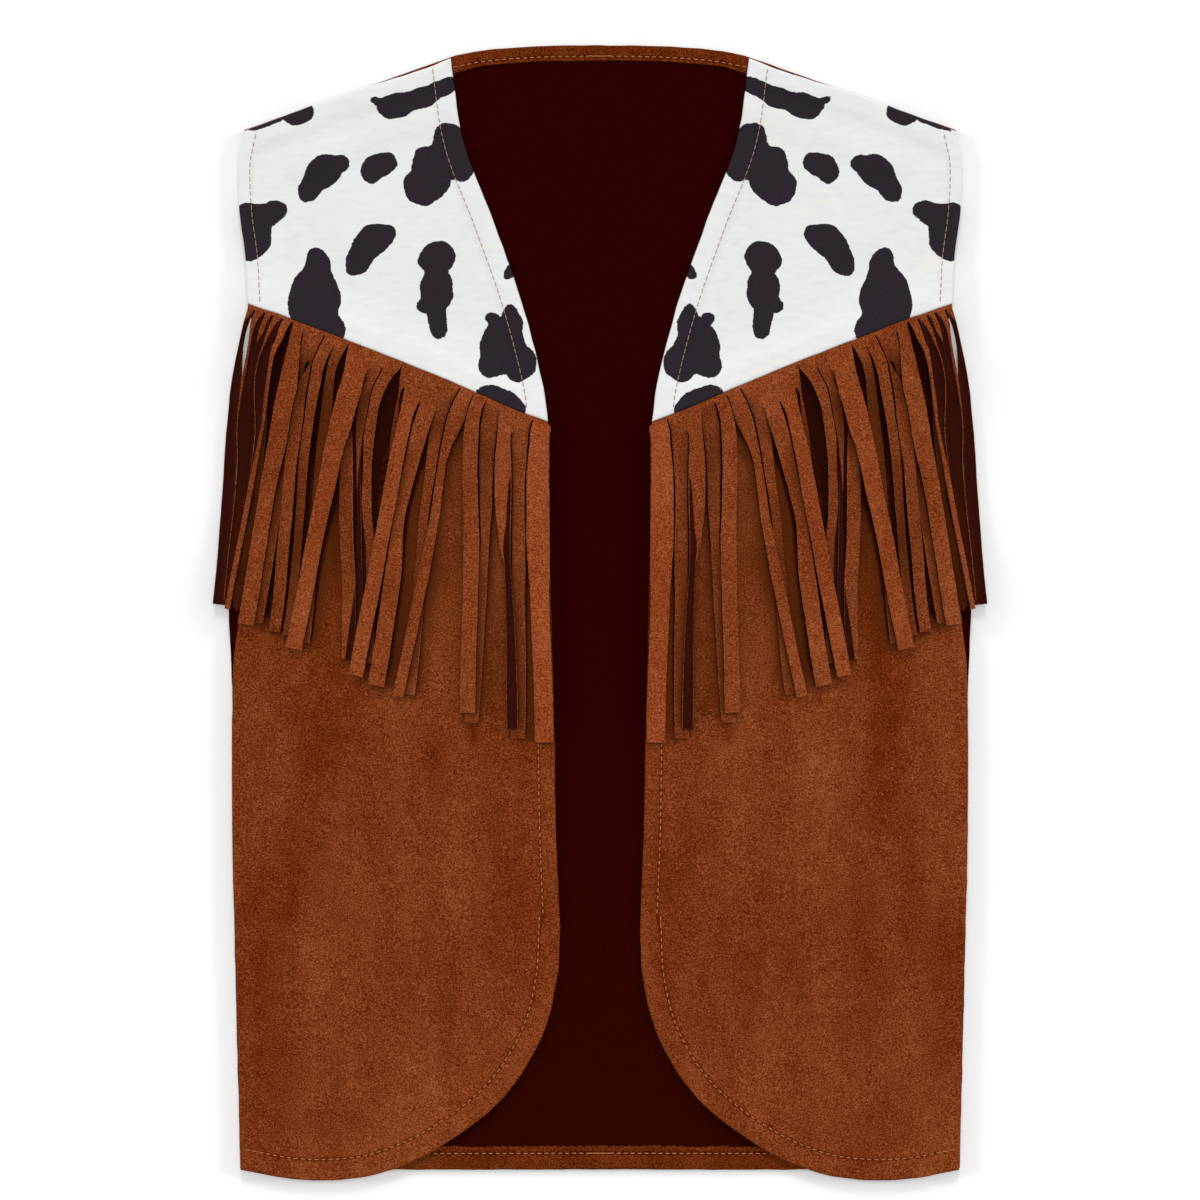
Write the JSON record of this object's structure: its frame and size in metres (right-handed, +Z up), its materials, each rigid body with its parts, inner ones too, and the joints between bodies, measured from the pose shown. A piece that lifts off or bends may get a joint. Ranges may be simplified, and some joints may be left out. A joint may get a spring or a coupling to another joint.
{
  "type": "western vest",
  "caption": "Child's open-front suede-look vest lying flat and face up, with cow-print shoulder yokes and a slanted row of fringe below each yoke.",
  "frame": {"origin": "centre of the vest's outline on the surface it lies on", "axes": "+Y from the hem towards the neck along the centre front, +Z up out of the surface, +X to the wearer's left"},
  "size_m": [0.3102, 0.455, 0.0091],
  "materials": {
    "suede_face": "matt brown suede nap",
    "suede_reverse": "matt dark maroon reverse of the suede cloth",
    "cow_cotton": "matt off-white plain weave with near-black cow patches"
  },
  "bodies": {
    "root": {"back": "suede_reverse", "right_front": "suede_face", "left_front": "suede_face", "right_yoke": "cow_cotton", "left_yoke": "cow_cotton", "right_fringe": "suede_face", "left_fringe": "suede_face"}
  },
  "joints": []
}
